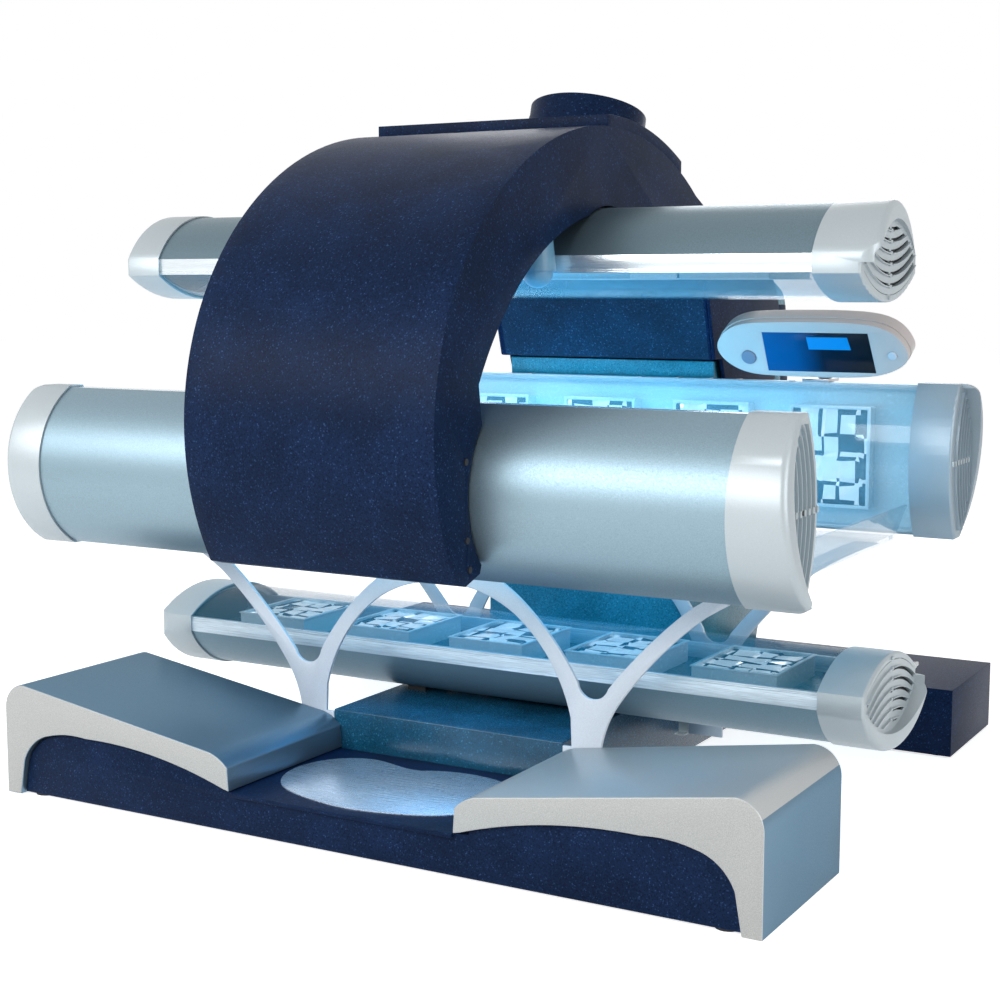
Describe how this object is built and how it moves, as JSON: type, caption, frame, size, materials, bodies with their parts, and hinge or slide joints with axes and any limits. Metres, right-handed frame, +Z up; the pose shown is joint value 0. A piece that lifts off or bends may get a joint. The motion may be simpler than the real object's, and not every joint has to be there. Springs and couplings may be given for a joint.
{
  "type": "lie-down tanning machine",
  "caption": "Lie-down tanning machine with long lens-shaped lamp tubes, a lifting arch canopy, an acrylic lying sheet on wave supports and step benches.",
  "frame": {"origin": "on the floor, under the middle of the arch and of the base's spine, at the underside of the central levelling foot", "axes": "+X along the tubes towards the control pod's end, +Y from the entry side to the rear column, +Z up"},
  "size_m": [2.2824, 2.2381, 1.9141],
  "materials": {
    "tube_aluminium": "satin silver, fine grain",
    "rail_aluminium": "bright drawn aluminium",
    "clear_acrylic": "clear, glossy",
    "reflector": "polished reflector sheet",
    "cap_silver": "satin silver paint",
    "quartz": "clear quartz burner",
    "navy_flake": "dark navy with fine silver flake, satin clear coat",
    "liner_navy": "dark navy, satin",
    "frame_steel": "powder coat",
    "base_navy_steel": "dark navy with fine silver flake",
    "bare_steel": "machined",
    "black_steel": "gloss black",
    "ballast_iron": "rough",
    "rubber_black": "matte",
    "fan_plastic": "matte black",
    "black_plastic": "matte",
    "bench_aluminium": "smooth satin metallic, reflective",
    "polished_steel": "polished",
    "wishbone_aluminium": "pale satin",
    "pod_silver": "pale blue silver, satin",
    "display_glass": "dark blue, glossy",
    "button_grey": "satin",
    "nozzle_grey": "satin"
  },
  "bodies": {
    "base": {"back_tube_metal_shell": "tube_aluminium", "back_tube_rails": "rail_aluminium", "back_tube_acrylic_cover": "clear_acrylic", "back_tube_reflector_bank": "reflector", "back_tube_end_caps": "cap_silver", "low_tube_metal_shell": "tube_aluminium", "low_tube_rails": "rail_aluminium", "low_tube_acrylic_cover": "clear_acrylic", "low_tube_reflector_bank": "reflector", "low_tube_end_caps": "cap_silver", "base_burners": "quartz", "column_casing": "navy_flake", "rear_cover": "navy_flake", "column_frame": "frame_steel", "front_beam": "base_navy_steel", "spine_box": "base_navy_steel", "rear_beam": "base_navy_steel", "hinge_bearings": "bare_steel", "gas_spring_tubes": "black_steel", "ballasts": "ballast_iron", "base_saddles": "rubber_black", "levelling_feet": "rubber_black", "mains_inlet": "black_plastic", "bench_cover_right": "bench_aluminium", "bench_cover_left": "bench_aluminium", "step_tread": "polished_steel", "wishbone_front": "wishbone_aluminium", "wishbone_rear": "wishbone_aluminium", "lying_sheet": "clear_acrylic", "clear_clips": "clear_acrylic", "pod_bracket": "bare_steel"},
    "canopy": {"arch_shell": "navy_flake", "arch_liner": "liner_navy", "canopy_ribs": "frame_steel", "arch_screws": "bare_steel", "hinge_cheeks": "navy_flake", "hinge_shaft": "bare_steel", "canopy_saddles": "rubber_black", "duct_plate": "navy_flake", "fan_guard": "fan_plastic", "nozzle_seat": "nozzle_grey", "canopy_burners": "quartz", "top_tube_metal_shell": "tube_aluminium", "top_tube_rails": "rail_aluminium", "top_tube_acrylic_cover": "clear_acrylic", "top_tube_reflector_bank": "reflector", "top_tube_end_caps": "cap_silver", "front_tube_metal_shell": "tube_aluminium", "front_tube_rails": "rail_aluminium", "front_tube_acrylic_cover": "clear_acrylic", "front_tube_reflector_bank": "reflector", "front_tube_end_caps": "cap_silver"},
    "fan": {"fan_impeller": "fan_plastic"},
    "nozzle": {"nozzle_ball": "nozzle_grey"},
    "spring_rods": {"gas_spring_rods": "bare_steel"},
    "pod": {"pod_back": "pod_silver", "pod_face": "pod_silver", "pod_display": "display_glass"},
    "start_button": {"start_button": "button_grey"},
    "select_button": {"select_button": "button_grey"}
  },
  "joints": [
    {"name": "canopy_hinge", "type": "hinge", "parent": "base", "child": "canopy", "pos_m": [0, 0.77, 1.24], "axis": [-1, 0, 0], "range_deg": [0, 28]},
    {"name": "spring_rod_slide", "type": "slide", "parent": "base", "child": "spring_rods", "axis": [0, 0, 1], "range_m": [0, 0.044]},
    {"name": "pod_tilt", "type": "hinge", "parent": "base", "child": "pod", "pos_m": [0.693, 0.48023, 1.261], "axis": [1, 0, 0], "range_deg": [-15, 15]},
    {"name": "start_press", "type": "slide", "parent": "pod", "child": "start_button", "axis": [0, 0.866, 0.5], "range_m": [0, 0.003], "stiffness_N_per_m": 700, "springref_m": -0.003},
    {"name": "select_press", "type": "slide", "parent": "pod", "child": "select_button", "axis": [0, 0.866, 0.5], "range_m": [0, 0.002], "stiffness_N_per_m": 700, "springref_m": -0.003},
    {"name": "exhaust_fan_spin", "type": "hinge", "parent": "canopy", "child": "fan", "pos_m": [0.184, -0.006, 1.87103], "axis": [0, 0.2696, 0.963], "continuous": true},
    {"name": "nozzle_swivel", "type": "hinge", "parent": "canopy", "child": "nozzle", "pos_m": [0.29, -0.49, 1.432], "axis": [1, 0, 0], "range_deg": [-20, 20]}
  ],
  "couplings": [
    {"joint": "spring_rod_slide", "follows": "canopy_hinge", "m_per_rad": 0.089107}
  ]
}
